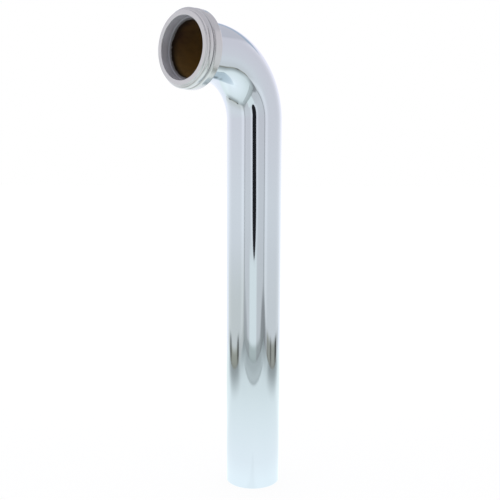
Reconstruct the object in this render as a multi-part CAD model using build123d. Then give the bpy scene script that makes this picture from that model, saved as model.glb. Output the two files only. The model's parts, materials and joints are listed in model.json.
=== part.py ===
from build123d import *
import os

# A waste bend: a drawn brass tube with a long leg, one right-angle bend and a beaded slip socket.
# The long leg stands on its cut end, along +Z, with the origin at the middle of that end.
# The socket faces along -X at the top.

# Driving dimensions of the tube, in millimetres
tube_diameter = 38.1        # outside of the drawn tube
tube_wall = 1.15            # wall of the drawn tube
long_leg = 258.2            # straight run from the cut end to the bend
bend_radius = 41.8          # centreline of the bend
bend_angle = 90.0           # turn from the long leg to the short one, in degrees
short_leg = 24.4            # straight run from the bend to the socket's face
cut_end_break = 0.25        # sharp outer edge taken off the cut end

# Driving dimensions of the socket, in millimetres
slip_clearance = 0.7        # gap all round a like tube that slips into the socket
socket_depth = 6.5          # from the face to the end of the tube inside
mouth_bevel = 0.35          # lead-in at the mouth's inner edge
lip_width = 3.25            # flat ring round the mouth
lip_bevel = 0.5             # outer edge of that ring
lip_length = 1.3            # plain nose in front of the front bead
front_bead_rise = 1.9       # front bead above the lip
front_bead_width = 4.5
groove_depth = 1.5          # groove between the beads, below the front bead
rear_bead_rise = 2.1        # rear bead above the lip
rear_bead_width = 6.8
rear_bead_round = 1.6       # edge that meets the bead's back face
neck_braze = 1.0            # sloped run of braze between the back face and the tube

# Radii and places that follow from them
tube_radius = tube_diameter / 2
bore_radius = tube_radius - tube_wall
mouth_radius = tube_radius + slip_clearance
lip_radius = mouth_radius + lip_width
front_bead_radius = lip_radius + front_bead_rise
groove_radius = front_bead_radius - groove_depth
rear_bead_radius = lip_radius + rear_bead_rise
groove_place = lip_length + front_bead_width
back_face_place = groove_place + rear_bead_width


def centreline():
    """The tube's path, from the cut end to where the tube stops inside the socket."""
    leg = Line((0, 0), (0, long_leg))
    bend = JernArc(leg @ 1, leg % 1, bend_radius, bend_angle)
    run_out = Line(bend @ 1, bend @ 1 + (bend % 1) * (short_leg - socket_depth))
    return Plane.XZ * (leg + bend + run_out)


def drawn_tube(path):
    """The tube's ring section carried along its path, with the cut end's edge taken off."""
    tube = sweep(Circle(tube_radius) - Circle(bore_radius), path=path)
    cut_edges = tube.edges().filter_by(GeomType.CIRCLE).group_by(Axis.Z)[0]
    return chamfer(cut_edges.sort_by(SortBy.RADIUS)[-1], cut_end_break)


def collar_section():
    """Half of the socket's section: distance behind its face along X, radius along Y."""
    lip_edge = (0, lip_radius - lip_bevel)
    nose_end = (lip_length, lip_radius)
    nose = Polyline(lip_edge, (lip_bevel, lip_radius), nose_end)
    groove_floor = (groove_place, groove_radius)
    front_crest = (lip_length + front_bead_width / 2, front_bead_radius)
    front_bead = ThreePointArc(nose_end, front_crest, groove_floor)

    flank = rear_bead_radius - groove_radius
    rear_flank = CenterArc((groove_place + flank, groove_radius), flank, 180, -90)
    round_middle = (back_face_place - rear_bead_round, rear_bead_radius - rear_bead_round)
    rear_edge = CenterArc(round_middle, rear_bead_round, 90, -90)
    neck = Polyline(
        rear_edge @ 1,
        (back_face_place, tube_radius + neck_braze),
        (back_face_place + neck_braze, tube_radius),
    )

    crest = Line(rear_flank @ 1, rear_edge @ 0)
    outside = [nose, front_bead, rear_flank, crest, rear_edge, neck]
    inside = Polyline(
        neck @ 1,
        (socket_depth, tube_radius),
        (socket_depth, mouth_radius),
        (mouth_bevel, mouth_radius),
        (0, mouth_radius + mouth_bevel),
        lip_edge,
    )
    return make_face(Curve() + outside + inside)


def socket_collar(path):
    """The beaded collar, turned about the short leg, with its face where the short leg ends."""
    outwards = path % 1
    face_middle = path @ 1 + outwards * socket_depth
    seat = Plane(origin=face_middle, x_dir=-outwards, z_dir=(0, 1, 0))
    return seat * revolve(collar_section(), Axis.X)


def waste_bend():
    """Tube and collar as the one brazed and plated piece that they are."""
    path = centreline()
    return drawn_tube(path) + socket_collar(path)


os.makedirs("parts", exist_ok=True)
bend_solid = waste_bend()
export_step(bend_solid, "parts/waste_bend.step")
print("waste_bend", round(bend_solid.volume / 1000, 2), "cm3, mass centre", bend_solid.center(CenterOf.MASS))
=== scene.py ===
# %% [markdown]
# # A chrome-plated waste bend
#
# A waste bend leads used water from a basin's outlet round a corner and on to the next pipe.
# The real one is drawn brass tube, bent on a mandrel, with a turned brass collar brazed to its
# short end, and bright chrome plate over the whole outside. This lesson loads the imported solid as
# a fixed frame, lays a finer skin exactly over it, gives that skin its finishes, and stands it in
# a white light tent, because a mirror shows nothing but what stands around it.

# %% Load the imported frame
import json
import math

import bpy
import numpy as np
from mathutils import Matrix, Vector


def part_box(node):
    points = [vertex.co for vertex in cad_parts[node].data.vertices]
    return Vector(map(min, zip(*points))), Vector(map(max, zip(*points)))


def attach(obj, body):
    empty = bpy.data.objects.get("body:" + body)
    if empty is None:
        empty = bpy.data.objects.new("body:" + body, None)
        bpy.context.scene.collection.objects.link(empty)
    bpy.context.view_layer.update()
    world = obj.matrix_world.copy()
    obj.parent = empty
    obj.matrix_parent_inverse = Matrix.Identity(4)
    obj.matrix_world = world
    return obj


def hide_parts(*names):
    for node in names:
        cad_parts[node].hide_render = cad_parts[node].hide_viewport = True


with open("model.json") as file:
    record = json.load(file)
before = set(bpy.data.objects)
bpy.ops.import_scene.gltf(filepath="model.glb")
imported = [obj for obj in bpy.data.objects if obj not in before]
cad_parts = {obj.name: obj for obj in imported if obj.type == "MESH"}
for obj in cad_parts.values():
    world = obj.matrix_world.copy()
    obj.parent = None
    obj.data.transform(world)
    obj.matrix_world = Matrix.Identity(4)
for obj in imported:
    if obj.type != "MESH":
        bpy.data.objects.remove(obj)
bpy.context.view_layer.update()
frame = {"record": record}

# %% [markdown]
# ## Sizes
#
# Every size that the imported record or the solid's own box can give is read from there, so the skin
# follows the solid if it is ever packed at another size. The tube's outside and the socket's inside
# are mounts of the record, and the rear bead is the widest ring, so the box's width gives it. Only
# the small forms of the collar are written here, in metres through one factor.

# %% Sizes from the frame, and the collar's own small forms
MM = 0.001
low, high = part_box("waste_bend")
mounts = {mount["name"]: mount for mount in frame["record"]["mounts"]}

tube_radius = mounts["spigot"]["dims"]["r_mm"] * MM
mouth_radius = mounts["socket"]["dims"]["r_mm"] * MM
rear_bead_radius = high.y
axis_height = high.z - rear_bead_radius
long_leg = mounts["spigot"]["pos_m"][2] + mounts["spigot"]["dims"]["length_mm"] * MM
bend_radius = axis_height - long_leg
quarter_turn = math.pi / 2
bend_length = bend_radius * quarter_turn
bend_end = long_leg + bend_length
face = bend_end - low.x - bend_radius

tube_wall = 1.15 * MM
cut_break = 0.25 * MM
mouth_round = 0.35 * MM
lip_radius = mouth_radius + 3.25 * MM
lip_round = 0.5 * MM
nose_back = 1.3 * MM
front_bead_rise = 1.9 * MM
front_bead_width = 4.5 * MM
groove_depth = 1.5 * MM
rear_bead_width = 6.8 * MM
rear_bead_round = 1.6 * MM
braze_fillet = 1.0 * MM
bore_radius = tube_radius - tube_wall
socket_depth = mounts["socket"]["dims"]["length_mm"] * MM + mouth_round
print("tube radius", tube_radius, "bend radius", round(bend_radius, 5), "centreline", round(face, 5))

# %% [markdown]
# ## The section as one closed line
#
# Everything on this part is round about its own centreline: the tube all the way, and the collar
# about the straight end. So one closed line is enough to draw all of it. Each point of the line has
# a distance along the centreline and a radius. The line runs up the outside, over the braze and the
# two beads, round the lip, into the mouth, past the end of the tube and back down the bore. A lathe
# (Screw modifier) could turn the collar alone, but tube and collar would then meet at a visible seam.
# Every edge gets a small round, because no plated edge is sharp and a round edge catches light.

# %% Stretches of the section line
POLISHED, COLLAR, BORE = 0, 1, 2


def straight(start, end, count):
    """Evenly spaced points from start towards end; the end point opens the next stretch."""
    share = np.arange(count)[:, None] / count
    return np.asarray(start) + share * (np.asarray(end) - np.asarray(start))


def rounded(middle, radius, first_angle, last_angle, count):
    """Points on a circle round middle: middle + radius times (cosine, sine) of evenly spaced angles."""
    angle = np.radians(first_angle + (last_angle - first_angle) * np.arange(count) / count)
    return np.asarray(middle) + radius * np.stack([np.cos(angle), np.sin(angle)], axis=1)


def crowned(start, crest, end, count):
    """Points on the circle through three points, whose middle is where two mid-lines cross."""
    start, crest, end = (np.asarray(point, dtype=float) for point in (start, crest, end))
    sides = np.stack([crest - start, end - start])
    middle = start + np.linalg.solve(sides, (sides**2).sum(axis=1) / 2)
    first, last = (np.degrees(np.arctan2(*(point - middle)[::-1])) for point in (start, end))
    return rounded(middle, np.linalg.norm(start - middle), first, last, count)


groove_back = nose_back + front_bead_width
back_face = groove_back + rear_bead_width
front_bead_radius = lip_radius + front_bead_rise
groove_radius = front_bead_radius - groove_depth
rear_flank = rear_bead_radius - groove_radius
tube_stop = face - socket_depth
step_round = 0.25 * MM
neck = face - back_face
groove_floor = (face - groove_back, groove_radius)
flank_start = groove_floor[0] - rear_flank
nose_end = (face - nose_back, lip_radius)
front_crest = (face - nose_back - front_bead_width / 2, front_bead_radius)

tube_outside = [
    straight((0, tube_radius - cut_break), (cut_break, tube_radius), 3),
    straight((cut_break, tube_radius), (4 * cut_break, tube_radius), 3),
    straight((4 * cut_break, tube_radius), (long_leg, tube_radius), 60),
    straight((long_leg, tube_radius), (bend_end, tube_radius), 64),
    straight((bend_end, tube_radius), (neck - braze_fillet, tube_radius), 10),
]
collar_outside = [
    rounded((neck - braze_fillet, tube_radius + braze_fillet), braze_fillet, -90, 0, 8),
    straight((neck, tube_radius + braze_fillet), (neck, rear_bead_radius - rear_bead_round), 5),
    rounded((neck + rear_bead_round, rear_bead_radius - rear_bead_round), rear_bead_round, 180, 90, 10),
    straight((neck + rear_bead_round, rear_bead_radius), (flank_start, rear_bead_radius), 6),
    rounded((flank_start, groove_radius), rear_flank, 90, 0, 12),
    crowned(groove_floor, front_crest, nose_end, 24),
    straight(nose_end, (face - lip_round, lip_radius), 3),
    rounded((face - lip_round, lip_radius - lip_round), lip_round, 90, 0, 8),
    straight((face, lip_radius - lip_round), (face, mouth_radius + mouth_round), 6),
    rounded((face - mouth_round, mouth_radius + mouth_round), mouth_round, 0, -90, 6),
]
tube_inside = [
    straight((face - mouth_round, mouth_radius), (tube_stop + step_round, mouth_radius), 10),
    rounded((tube_stop + step_round, mouth_radius - step_round), step_round, 90, 180, 4),
    straight((tube_stop, mouth_radius - step_round), (tube_stop, bore_radius + step_round), 5),
    rounded((tube_stop - step_round, bore_radius + step_round), step_round, 0, -90, 4),
    straight((tube_stop - step_round, bore_radius), (bend_end, bore_radius), 14),
    straight((bend_end, bore_radius), (long_leg, bore_radius), 64),
    straight((long_leg, bore_radius), (cut_break, bore_radius), 48),
    rounded((cut_break, bore_radius + cut_break), cut_break, -90, -180, 3),
    straight((0, bore_radius + cut_break), (0, tube_radius - cut_break), 3),
]
zones = [(POLISHED, tube_outside), (COLLAR, collar_outside), (BORE, tube_inside)]
section = np.concatenate([points for _, stretches in zones for points in stretches])
zone_of_station = np.concatenate([np.full(len(np.concatenate(s)), zone) for zone, s in zones])
print("section line:", len(section), "stations, stations in each zone", np.bincount(zone_of_station))

# %% [markdown]
# ## The skin
#
# The section line is carried round the centreline: a straight run up, a quarter turn, a straight run
# out. At each station a ring of points stands square to the centreline. Both ways round the grid
# close on themselves, so the skin has no seam, no pole and no open edge, just like the solid. A curve
# with a bevel would be quicker to set up, but it can't carry a wall with an inside and an outside.


# %% Carry the section round the centreline
def carried(along, radius, turn):
    """Ring points: the centreline's point, plus radius times (cosine of turn towards the bend's
    outside, sine of turn across the bend's plane). The centreline goes straight up, turns through
    the part of its length past the long leg over the bend's radius, then runs straight out."""
    bent = np.clip((along - long_leg) / bend_radius, 0, quarter_turn)
    run_out = np.clip(along - bend_end, 0, None)
    middle_x = -bend_radius * (1 - np.cos(bent)) - run_out
    middle_z = np.minimum(along, long_leg) + bend_radius * np.sin(bent)
    outwards = radius[:, None] * np.cos(turn)
    x = middle_x[:, None] + outwards * np.cos(bent)[:, None]
    y = radius[:, None] * np.sin(turn)
    z = middle_z[:, None] + outwards * np.sin(bent)[:, None]
    return np.stack([x, y, z], axis=-1)


ring_count = 192
station_count = len(section)
along, radius = section.T
turn = np.arange(ring_count) * 2 * np.pi / ring_count
points = carried(along, radius, turn)

station, ring = np.meshgrid(np.arange(station_count), np.arange(ring_count), indexing="ij")
next_station, next_ring = (station + 1) % station_count, (ring + 1) % ring_count
corners = [(station, ring), (station, next_ring), (next_station, next_ring), (next_station, ring)]
quads = np.stack([s * ring_count + r for s, r in corners], axis=-1).reshape(-1, 4)

skin = bpy.data.meshes.new("plated_bend")
skin.from_pydata(points.reshape(-1, 3).tolist(), [], quads.tolist())
skin.shade_smooth()
plated_bend = bpy.data.objects.new("plated_bend", skin)
bpy.context.collection.objects.link(plated_bend)

a, b, c, d = (points.reshape(-1, 3)[quads[:, k]] for k in range(4))
signed_volume = (np.cross(b - a, c - a) * a + np.cross(c - a, d - a) * a).sum() / 6
print("skin:", 2 * len(quads), "triangles, volume", round(signed_volume * 1e6, 2), "cubic centimetres")

# %% [markdown]
# ## What the finishes need to know
#
# Draw marks run along the tube and follow it round the bend, so a pattern laid in plain space would
# cut across them. Each point therefore keeps its place on the tube as it was before it was bent.
# Two more numbers are kept: how much plating reaches the point, which fades a little way into
# both ends of the bore, and how deep it sits in a corner, which the finishes use to paint shade there.


# %% Keep three measures on the skin's points
def keep(name, kind, values):
    """Stores one value for each point of the skin, for the materials to read."""
    layer = skin.attributes.new(name, kind, "POINT")
    field = "vector" if kind == "FLOAT_VECTOR" else "value"
    layer.data.foreach_set(field, values.astype(np.float32).ravel())


around = radius[:, None, None] * np.stack([np.cos(turn), np.sin(turn)], axis=-1)
lengthwise = np.broadcast_to(along[:, None, None], around.shape[:2] + (1,))
unbent = np.concatenate([around, lengthwise], axis=-1)
keep("unbent", "FLOAT_VECTOR", unbent)

plating_reach = 0.1 * MM
plating_fade = 0.5 * MM
in_bore = zone_of_station == BORE
depth = np.minimum(tube_stop - along, along)
plating = np.where(in_bore, np.clip(1 - (depth - plating_reach) / plating_fade, 0, 1), 1)
keep("plating", "FLOAT", np.repeat(plating, ring_count))

tube_end = (tube_stop, bore_radius + 0.3 * MM)
braze_corner = (neck - braze_fillet / 3, tube_radius + braze_fillet / 3)
recess_points = np.array([groove_floor, braze_corner, tube_end])
recess_spreads = np.array([0.55, 0.55, 1.8]) * MM
nearest = (np.linalg.norm(section[:, None, :] - recess_points, axis=-1) / recess_spreads).min(axis=1)
recess = np.exp(-(nearest**2))
keep("recess", "FLOAT", np.repeat(recess, ring_count))
print("plating from", plating.min(), "to", plating.max(), "- deepest corner", round(recess.max(), 2))

# %% [markdown]
# ## Small helpers for node materials
#
# A material is a tree of nodes that ends in one Principled shader. Two helpers keep the trees short:
# one adds a node and fills its sockets with numbers or with other nodes' results, and one blends two
# colours by a share.


# %% Node helpers
def fill(material, socket, value):
    """Links another node's output into the socket, or writes a plain number or colour on it."""
    if isinstance(value, bpy.types.NodeSocket):
        material.node_tree.links.new(value, socket)
    else:
        socket.default_value = value


def add(material, kind, settings=None, **inputs):
    """Adds one shader node; an underscore in an input's name stands for a space."""
    node = material.node_tree.nodes.new("ShaderNode" + kind)
    for name, value in (settings or {}).items():
        setattr(node, name, value)
    for name, value in inputs.items():
        fill(material, node.inputs[name.replace("_", " ")], value)
    return node


def blended(material, share, first, second):
    """The first colour where share is 0 and the second where it is 1."""
    node = add(material, "Mix", {"data_type": "RGBA"})
    for index, value in ((0, share), (6, first), (7, second)):
        fill(material, node.inputs[index], value)
    return node.outputs[2]


def ranged(material, value, lowest, highest, start=0.0, stop=1.0):
    """Stretches a value that runs from start to stop so that it runs from lowest to highest."""
    sockets = {"From_Min": start, "From_Max": stop, "To_Min": lowest, "To_Max": highest}
    return add(material, "MapRange", Value=value, **sockets).outputs["Result"]


def measure(material, name, output="Fac"):
    """Reads a value that is kept on the skin's points."""
    return add(material, "Attribute", {"attribute_name": name}).outputs[output]


def speckle(material, scale, stretch=(1, 1, 1), detail=2.0):
    """Noise over the unbent tube, of that many grains a metre, pulled out along any of its axes."""
    place = add(material, "Mapping", Vector=measure(material, "unbent", "Vector"), Scale=stretch)
    noise = add(material, "TexNoise", Vector=place.outputs["Vector"], Scale=scale, Detail=detail)
    return noise.outputs["Fac"]


def raised(material, height, distance, strength=1.0, over=None):
    """Turns a height from 0 to 1 into a shading slope; distance is the full height in metres."""
    node = add(material, "Bump", Height=height, Distance=distance, Strength=strength)
    if over is not None:
        fill(material, node.inputs["Normal"], over)
    return node.outputs["Normal"]


def finish(name):
    """A new material and its Principled shader."""
    material = bpy.data.materials.new(name)
    material.use_nodes = True
    return material, material.node_tree.nodes["Principled BSDF"]


# %% [markdown]
# ## Bright chrome on the tube
#
# Decorative chrome is a hair-thin layer over nickel, and it copies the polished tube beneath it. Its
# colour is a cool light grey. What tells real plate from a computed mirror is small: a faint haze
# left by the polishing wheel, drawn out along the tube, and slow waves from drawing and bending that
# make straight reflections swim a little. Roughness carries the haze and a very shallow bump carries
# the waves.


# %% Polished chrome
def polished_chrome():
    material, shader = finish("polished_chrome")
    haze = speckle(material, 60, (1, 1, 0.25), 4)
    draw_marks = speckle(material, 2600, (1, 1, 0.006), 2)
    shader.inputs["Metallic"].default_value = 1.0
    tint = blended(material, haze, (0.635, 0.695, 0.755, 1), (0.665, 0.722, 0.778, 1))
    fill(material, shader.inputs["Base Color"], tint)
    fill(material, shader.inputs["Roughness"], ranged(material, haze, 0.03, 0.075, 0.3, 0.7))
    waves = raised(material, speckle(material, 42, (1, 1, 0.35), 1), 0.02 * MM)
    fill(material, shader.inputs["Normal"], raised(material, draw_marks, 0.0002 * MM, 0.35, waves))
    return material


# %% [markdown]
# ## The turned collar
#
# The collar was cut on a lathe before it was brazed on, and only brushed over before plating. Its
# chrome is duller and greyer than the tube's, with fine rings left by the tool. A one-way noise along
# the centreline gives rings of uneven spacing. The groove and the braze corner are painted a little
# darker, as painted shade.


# %% Turned collar
def turned_collar():
    material, shader = finish("turned_collar")
    place = add(material, "SeparateXYZ", Vector=measure(material, "unbent", "Vector"))
    one_way = {"noise_dimensions": "1D"}
    rings = add(material, "TexNoise", one_way, W=place.outputs["Z"], Scale=5200.0, Detail=3.0)
    smears = speckle(material, 180, (1, 1, 0.6), 3)
    # painted shade: the groove and braze corner are blended towards a darker grey by corner depth
    recess_shade = measure(material, "recess")
    shader.inputs["Metallic"].default_value = 1.0
    plain = blended(material, smears, (0.598, 0.614, 0.626, 1), (0.653, 0.668, 0.679, 1))
    fill(material, shader.inputs["Base Color"], blended(material, recess_shade, plain, (0.52, 0.525, 0.535, 1)))
    brushed = ranged(material, rings.outputs["Fac"], 0.15, 0.26, 0.3, 0.7)
    fill(material, shader.inputs["Roughness"], brushed)
    fill(material, shader.inputs["Normal"], raised(material, rings.outputs["Fac"], 0.004 * MM, 0.8))
    return material


# %% [markdown]
# ## Raw brass in the bore
#
# Plating current hardly reaches inside a tube, so the chrome stops at the edge of the bore, in an
# uneven line, and behind it the brass is bare and tarnished to brown. The kept plating measure is
# broken up with noise and then decides between chrome and brass. The first few millimetres of the
# bore are painted almost black, as painted shade, and the plated metal round the tube's end is
# painted darker, as painted shade in that corner. Deeper in, and along the lower side, the brass is
# lighter and more golden; a coarse noise breaks that up a little.


# %% Raw brass bore
def raw_bore():
    material, shader = finish("raw_bore")
    patches = speckle(material, 130, (1, 1, 0.5), 5)
    edge_noise = speckle(material, 420, (1, 1, 1), 4)
    ragged = add(material, "Math", {"operation": "ADD"})
    fill(material, ragged.inputs[0], measure(material, "plating"))
    fill(material, ragged.inputs[1], ranged(material, edge_noise, -0.3, 0.3, 0.3, 0.7))
    plated = ranged(material, ragged.outputs["Value"], 0, 1, 0.35, 0.65)
    place = add(material, "SeparateXYZ", Vector=measure(material, "unbent", "Vector"))
    # lighter and more golden towards the lower side and deeper in the bore
    lower_side = ranged(material, place.outputs["X"], 0, 0.42, 0.007, -0.009)
    deeper = ranged(material, place.outputs["Z"], 0, 0.58, tube_stop - 0.006, tube_stop - 0.034)
    golden = add(material, "Math", {"operation": "ADD"})
    fill(material, golden.inputs[0], lower_side)
    fill(material, golden.inputs[1], deeper)
    brass_lightness = add(material, "Math", {"operation": "ADD"})
    fill(material, brass_lightness.inputs[0], golden.outputs["Value"])
    fill(material, brass_lightness.inputs[1], ranged(material, patches, 0, 0.12, 0.42, 0.62))
    shader.inputs["Metallic"].default_value = 0.45
    brass = blended(material, brass_lightness.outputs["Value"], (0.095, 0.050, 0.032, 1), (0.66, 0.43, 0.13, 1))
    # painted shade: the first few millimetres of the bore are blended towards near black
    entry_shade = ranged(material, place.outputs["Z"], 0, 1, tube_stop - 0.006, tube_stop - 0.002)
    brass = blended(material, entry_shade, brass, (0.032, 0.021, 0.014, 1))
    # painted shade: the plated metal round the tube's end inside the socket is darkened by corner depth
    recess_shade = measure(material, "recess")
    chrome = blended(material, recess_shade, (0.77, 0.79, 0.86, 1), (0.14, 0.137, 0.135, 1))
    fill(material, shader.inputs["Base Color"], blended(material, plated, brass, chrome))
    fill(material, shader.inputs["Roughness"], ranged(material, patches, 0.55, 0.4, 0.35, 0.65))
    fill(material, shader.inputs["Normal"], raised(material, edge_noise, 0.01 * MM, 0.7))
    return material


# %% Dress the skin and let it stand for the solid
for make in (polished_chrome, turned_collar, raw_bore):
    skin.materials.append(make())
skin.polygons.foreach_set("material_index", np.repeat(zone_of_station, ring_count).astype(np.int32))
skin.update()

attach(plated_bend, "root")
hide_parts("waste_bend")
print("finishes:", [material.name for material in skin.materials])

# %% [markdown]
# ## The camera
#
# The camera stands a little above the middle of the bend and half a metre away, so its perspective
# is strong: the top of the leg looks wider than the foot. Its place is given as an angle round the
# bend, an angle above the floor, a distance and the point that it looks at.

# %% Camera
view_azimuth = math.radians(-45.97)
view_elevation = math.radians(6.52)
view_roll = math.radians(0.27)
view_distance = 0.5109
aim_height = 0.1681
aim_aside = -0.0026
sensor_width_mm = 36.0
focal_length_mm = 51.94

to_right = Vector((math.cos(view_azimuth), math.sin(view_azimuth), 0))
level_back = Vector((math.sin(view_azimuth), -math.cos(view_azimuth), 0))
backwards = level_back * math.cos(view_elevation) + Vector((0, 0, math.sin(view_elevation)))
upwards = backwards.cross(to_right)
camera_x = to_right * math.cos(view_roll) + upwards * math.sin(view_roll)
camera_y = upwards * math.cos(view_roll) - to_right * math.sin(view_roll)
camera_place = to_right * aim_aside + Vector((0, 0, aim_height)) + backwards * view_distance

lens = bpy.data.cameras.new("camera")
lens.sensor_width = sensor_width_mm
lens.lens = focal_length_mm
camera = bpy.data.objects.new("camera", lens)
camera_turn = Matrix((camera_x, camera_y, backwards)).transposed().to_4x4()
camera.matrix_world = Matrix.Translation(camera_place) @ camera_turn
bpy.context.collection.objects.link(camera)
bpy.context.scene.camera = camera
print("camera at", [round(v, 4) for v in camera_place])

# %% [markdown]
# ## The light tent
#
# Bright metal is photographed in a small tent of white cloth, lit from outside, so that there is
# white to reflect on every side. What draws the metal's form is the little in the tent that isn't
# plain white: the slit that the lens looks through, the seams at the corners, the hem where the cloth
# meets the table, and slow changes of light over the cloth. Area lamps would light the bend too, but
# each would leave a hard-edged white box in the chrome. So the tent is a set of sheets, and each point
# of a sheet keeps the colour of the light that it gives off. The colours are formulas of the place.

# %% The tent's directions and a few curves
tent_half = 0.314
tent_front = 0.350
tent_back = 0.300
tent_height = 0.600
tent_turn = math.radians(2.0)
front_azimuth = view_azimuth + tent_turn
aside = np.array([math.cos(front_azimuth), math.sin(front_azimuth), 0])
ahead = np.array([math.sin(front_azimuth), -math.cos(front_azimuth), 0])


def tent_points(across, forward, height):
    """Places in the tent: across to the right, forward to the lens, and height above the floor."""
    across, forward, height = (v[..., None] for v in np.broadcast_arrays(across, forward, height))
    return across * aside + forward * ahead + height * np.array([0, 0, 1])


def rise(value, start, stop):
    """From 0 at start to 1 at stop with level ends: three times the share squared, less twice
    its cube."""
    share = np.clip((value - start) / (stop - start), 0, 1)
    return share * share * (3 - 2 * share)


def hill(value, middle, width):
    """A bell curve that is 1 at its middle and falls off over about its width."""
    return np.exp(-(((value - middle) / width) ** 2))


def ramp(value, places, colours):
    """Goes evenly from each colour to the next between the places, channel by channel."""
    channels = np.asarray(colours, dtype=float).T
    return np.stack([np.interp(value, places, channel) for channel in channels], axis=-1)


def toward(colour, share, other):
    """The colour where share is 0, the other colour where it is 1."""
    return colour + share[..., None] * (np.asarray(other) - colour)


def sheet_object(name, points, tones, material):
    """A sheet of quads over a grid of points; each point keeps the colour of its own light."""
    rows, columns = points.shape[:2]
    corner = (np.arange(rows - 1)[:, None] * columns + np.arange(columns - 1)).ravel()
    faces = np.stack([corner, corner + 1, corner + columns + 1, corner + columns], axis=-1)
    mesh = bpy.data.meshes.new(name)
    mesh.from_pydata(points.reshape(-1, 3).tolist(), [], faces.tolist())
    glow = mesh.attributes.new("glow", "FLOAT_COLOR", "POINT")
    colours = np.ones(points.shape[:2] + (4,), dtype=np.float32)
    colours[..., :3] = tones
    glow.data.foreach_set("color", colours.ravel())
    mesh.materials.append(material)
    made = bpy.data.objects.new(name, mesh)
    bpy.context.collection.objects.link(made)
    return made


print("tent", 2 * tent_half, "metres wide,", tent_front + tent_back, "metres deep")

# %% [markdown]
# ## The floor
#
# The floor is plain white paper. To the camera it is white, with a share of ordinary lit paper, so
# that it still takes the bend's soft shadow. Mirrored in the chrome it shows how painted light lies on
# it: brightest round the foot, dimmer towards the sides and the front corners of the tent and beyond
# the paper's front edge, with a thin painted shadow along that edge and one faint dark line in front
# of the foot. The grid's lines stand close together near the bend and far apart at the edges.


# %% Floor
def white_paper():
    """Lit white paper, mixed with its own light for what the camera sees and the metal mirrors."""
    material, shader = finish("white_paper")
    shader.inputs["Base Color"].default_value = (0.92, 0.93, 0.93, 1)
    shader.inputs["Roughness"].default_value = 0.9
    path = add(material, "LightPath").outputs
    mirrored = measure(material, "glow", "Color")
    seen = blended(material, path["Is Camera Ray"], mirrored, (1.03, 1.03, 1.03, 1))
    glow = add(material, "Emission", Color=seen).outputs["Emission"]
    to_camera = ranged(material, path["Is Camera Ray"], 0, camera_share)
    shown = add(material, "Math", {"operation": "MAXIMUM"})
    fill(material, shown.inputs[0], to_camera)
    fill(material, shown.inputs[1], path["Is Glossy Ray"])
    mix = add(material, "MixShader", Fac=shown.outputs["Value"])
    fill(material, mix.inputs[1], shader.outputs["BSDF"])
    fill(material, mix.inputs[2], glow)
    fill(material, material.node_tree.nodes["Material Output"].inputs["Surface"], mix.outputs["Shader"])
    return material


def paper_tone(across, forward):
    """Light on the paper: it falls off with the distance from the foot, then again towards the sides
    of the tent, its front corners and the front hem, and steps down at the paper's front edge, with a
    thin painted shadow along that edge and a faint dark line in front of the foot. The back is open
    and stays light."""
    from_foot = np.hypot(across, forward)
    tone = ramp(from_foot, (0.03, 0.065, 0.16, 0.25), floor_light_colours)
    from_back = rise(forward, -0.28, -0.10)
    near_front = 1 - 0.6 * rise(forward, 0.10, 0.20)
    side_shade = 0.55 * rise(np.abs(across), 0.19, 0.31) * from_back * near_front
    in_middle = 1 - rise(np.abs(across), 0.16, 0.26)
    front_shade = 0.30 * rise(forward, paper_edge - 0.003, paper_edge + 0.003) * in_middle
    # painted shadow: a thin dark line along the paper's front edge
    edge_shadow = 0.14 * hill(forward, paper_edge + 0.003, 0.006) * in_middle
    corner_shade = 0.36 * hill(np.hypot(np.abs(across) - 0.29, forward - 0.31), 0.0, 0.10)
    near_hem = 0.15 * rise(forward, 0.285, 0.33)
    open_back = 0.10 * rise(-forward, 0.04, 0.14)
    # a faint dark line on the paper in front of the foot
    faint_line = 0.06 * hill(across, faint_line_place, 0.004) * (1 - rise(forward, 0.07, 0.09)) * (forward > 0)
    kept = (1 - side_shade) * (1 - front_shade - edge_shadow) * (1 - faint_line) * (1 - corner_shade)
    return tone * (kept * (1 - near_hem) * (1 + open_back))[..., None]


camera_share = 0.88
paper_edge = 0.265
faint_line_place = -0.002
# painted light: the floor's mirrored glow, brightest round the foot and falling off with distance
floor_light_colours = [(1.17, 1.25, 1.26), (1.11, 1.17, 1.18), (1.03, 1.10, 1.09), (0.94, 1.01, 0.99)]
floor_half, floor_lines, crowding = 8.0, 361, 4.5
spread = floor_half * np.sinh(crowding * np.linspace(-1, 1, floor_lines)) / math.sinh(crowding)
floor_across, floor_forward = np.meshgrid(spread, -spread)
floor_points = tent_points(floor_across, floor_forward, 0.0)
floor = sheet_object("floor", floor_points, paper_tone(floor_across, floor_forward), white_paper())
closest = round(np.diff(spread).min() / MM, 1)
print("floor", 2 * floor_half, "metres square, lines nearest the bend", closest, "mm apart")

# %% [markdown]
# ## The cloth of the tent
#
# Near the table the cloth is a little darker and greener, as painted shade; it turns lilac higher up
# and is dimmest at the roof. The two sides brighten towards the corners and carry painted shade that
# widens down the front corner, and low on them the hem hangs in shade, with short dark strokes across
# it.
# The back is one bright sweep, with a bluish gap under the roof. All sheets share one glowing material
# and are hidden from the camera, so only the mirror and the light on the floor show that they are there.


# %% Sides, back and roof
def tent_cloth():
    """Gives off the light that each point keeps."""
    material = bpy.data.materials.new("tent_cloth")
    material.use_nodes = True
    glow = add(material, "Emission", Color=measure(material, "glow", "Color")).outputs["Emission"]
    fill(material, material.node_tree.nodes["Material Output"].inputs["Surface"], glow)
    return material


def tent_sheet(name, points, tones):
    sheet = sheet_object(name, points, tones, cloth)
    sheet.visible_camera = False
    return sheet


def cloth_colour(height, dusk):
    """The cloth's colour by height, darkened near the table by the share called dusk."""
    colour = ramp(height, cloth_heights, cloth_colours)
    return colour * (1 - (1 - rise(height, 0.06, 0.16))[..., None] * dusk * np.array([1, 0.95, 1.3]))


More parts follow.
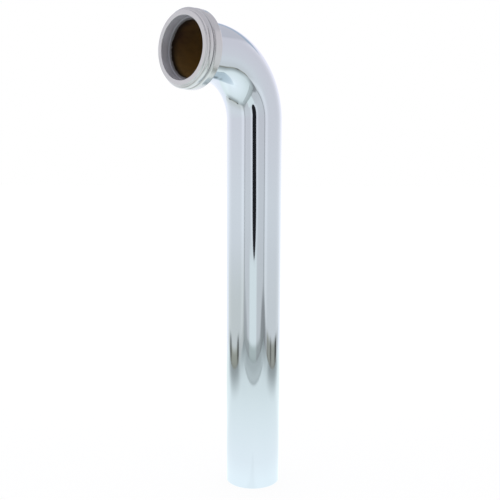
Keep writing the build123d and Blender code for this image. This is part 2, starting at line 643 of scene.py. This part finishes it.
def side_tone(forward, height, light, dusk, corner_shade_depth, hem_top, hem_back, hem_front, dark_strokes):
    """Cloth colour, brighter towards both corners, with painted shade that widens down the front
    corner, and with a hem in shade and short dark strokes near the table."""
    corner_light = 0.16 * hill(forward, 0.27, 0.05) + 0.20 * rise(-forward, 0.06, 0.32)
    shade = light * (1 + corner_light)
    # painted shade down the front corner, widening towards the table
    reach = 0.03 + 0.21 * np.clip(1 - height / 0.07, 0, 1)
    from_corner = tent_front - forward
    corner_shade_share = (1 - rise(from_corner, 0.15 * reach, reach)) * (1 - rise(height, 0.04, 0.09))
    shade = shade * (1 - corner_shade_depth * corner_shade_share)
    # painted shade on the hem near the table, darkest along the table
    low_down = 1 - rise(height, hem_top - 0.014, hem_top)
    hem_shade = rise(forward, hem_back - 0.03, hem_back + 0.01)
    hem_shade = hem_shade * (1 - rise(forward, hem_front - 0.01, hem_front + 0.03))
    shade = shade * (1 - low_down * (0.12 + 0.33 * hem_shade))
    shade = shade * (1 - 0.22 * hem_shade * hill(height, 0.0, 0.004))
    # short dark strokes across the hem near the table
    stroke_fade = (1 - rise(height, 0.025, 0.039)) * (0.3 + 0.7 * rise(height, 0.0, 0.012))
    for place, width, depth in dark_strokes:
        shade = shade * (1 - depth * hill(forward, place, width) * stroke_fade)
    tint = 1 - (low_down * hem_shade)[..., None] * np.array([0.0, 0.02, 0.14])
    return cloth_colour(height, dusk) * shade[..., None] * tint


def back_tone(height):
    """Bright cloth from the table up, and a bluish gap below the roof."""
    tone = cloth_colour(np.maximum(height, 0.17), 0.0) * np.array([1.2, 1.21, 1.25])
    return toward(tone, rise(height, gap_low - 0.02, gap_low + 0.02), gap_colour)


cloth = tent_cloth()
cloth_heights = (0.13, 0.19, 0.27, 0.45, 0.54, tent_height)
cloth_low = [(0.885, 0.895, 0.91), (0.91, 0.92, 0.935), (0.90, 0.88, 0.91)]
cloth_high = [(0.875, 0.83, 0.875), (0.875, 0.83, 0.875), (0.70, 0.675, 0.72)]
cloth_colours = cloth_low + cloth_high
gap_low, gap_colour = 0.50, (0.50, 0.58, 0.69)
heights = tent_height * np.linspace(0, 1, 140)[:, None] ** 1.8
depths = np.linspace(tent_front, -tent_back, 180)
widths = np.linspace(-tent_half, tent_half, 60)

# short dark strokes low on each side: place along the side, width and depth
left_dark_strokes = [(-0.130, 0.038, 0.80), (0.122, 0.028, 0.88)]
right_dark_strokes = [(-0.098, 0.044, 0.88), (0.078, 0.024, 0.62), (0.165, 0.018, 0.20)]
left_tone = side_tone(depths, heights, 1.0, 0.13, 0.12, 0.028, -0.15, 0.13, left_dark_strokes)
right_tone = side_tone(depths, heights, 0.955, 0.05, 0.58, 0.037, -0.12, 0.20, right_dark_strokes)
tent_sheet("tent_left", tent_points(-tent_half, depths, heights), left_tone)
tent_sheet("tent_right", tent_points(tent_half, depths, heights), right_tone)
tent_sheet("tent_back", tent_points(widths, -tent_back, heights), back_tone(heights))
roof_points = tent_points(widths, np.array([[tent_front], [-tent_back]]), tent_height)
tent_sheet("tent_roof", roof_points, cloth_colours[-1])
print("cloth from", left_tone.min().round(3), "to", left_tone.max().round(3))

# %% [markdown]
# ## The front of the tent
#
# The lens looks in through an upright slit with a rounded foot. It is the one truly dark thing in the
# tent, and it makes the black line that runs down the leg. The cloth is stretched bright along the
# slit's edges and below it. Each corner has a thin dark seam line and a band of painted shade that
# darkens and widens towards the table.


# %% Front
def front_tone(across, height):
    """Cloth colour, a bright strip below the slit, bright edges beside it, a seam line and a band of
    painted shade in each corner, a hem in shade at the table, and the slit cut out of all that."""
    shade = 0.87 - 0.03 * across / tent_half
    fall = np.clip((slit_full - height) / (slit_full - slit_low), 0, 1)
    slit_width = slit_half * np.sqrt(1 - fall**2)
    slit_place = slit_middle + slit_lean * np.minimum(slit_full - height, 0)
    off_slit = np.abs(across - slit_place) - slit_width
    above = rise(height, slit_low - 0.02, slit_low + 0.03)
    shade = shade + above * hill(off_slit, 0.020, 0.026) * np.where(across < slit_place, 0.22, 0.17)

    # painted shade in the front corners, darkening and widening towards the table, with a thin seam line
    off_corner = tent_half - np.abs(across)
    swell = shade_band_narrow + shade_band_wide * np.clip(1 - height / shade_band_top, 0, 1)
    left_deep = 0.33 * (1 - rise(height, 0.02, shade_band_top))
    right_deep = 0.50 * (1 - rise(height, 0.045, 0.09))
    deep = np.where(across < 0, left_deep, right_deep)
    band = deep * (1 - rise(off_corner, 0.60 * swell, 1.05 * swell))
    seam_and_corner_shade = np.maximum(band, 0.46 * hill(off_corner, 0.008, 0.018))

    tone = cloth_colour(height, 0.04) * shade[..., None]
    strip = rise(across, -0.135, -0.10) * (1 - rise(across, 0.045, 0.085))
    strip = strip * (1 - rise(height, 0.11, 0.15))
    tone = toward(tone, strip, strip_colour)
    # painted shade on the hem at the table, and a darker line where it meets the table
    hem_shade = 0.38 * (1 - rise(height, 0.0155, 0.0235))
    dark = np.maximum(seam_and_corner_shade, hem_shade) + 0.12 * hill(height, 0.0, 0.004)
    tone = tone * (1 - dark)[..., None] * (1 - hem_shade[..., None] * np.array([0.05, -0.05, 0.03]))
    cut_out = (1 - rise(off_slit, -0.002, 0.002)) * (height > slit_low)
    return toward(tone, cut_out, lens_dark)


slit_low, slit_full, slit_half, slit_middle, slit_lean = 0.121, 0.185, 0.047, -0.002, 0.13
shade_band_narrow, shade_band_wide, shade_band_top = 0.030, 0.165, 0.115
strip_colour, lens_dark = (0.94, 1.0, 0.985), (0.018, 0.018, 0.021)
front_widths = np.linspace(-tent_half, tent_half, 260)
front_heights = np.linspace(0, tent_height, 240)[:, None]
tent_sheet(
    "tent_front",
    tent_points(front_widths, tent_front, front_heights),
    front_tone(front_widths, front_heights),
)
print("slit", 2 * slit_half, "metres wide, from", slit_low, "metres up")

# %% [markdown]
# ## The background
#
# Beyond the floor there is only white. The world gives it, at a strength of one, which is plain white
# in the Standard view.

# %% World and view
world = bpy.data.worlds.new("white_surround")
world.use_nodes = True
world.node_tree.nodes["Background"].inputs["Color"].default_value = (1, 1, 1, 1)
world.node_tree.nodes["Background"].inputs["Strength"].default_value = 1.0
bpy.context.scene.world = world
bpy.context.scene.view_settings.view_transform = "Standard"
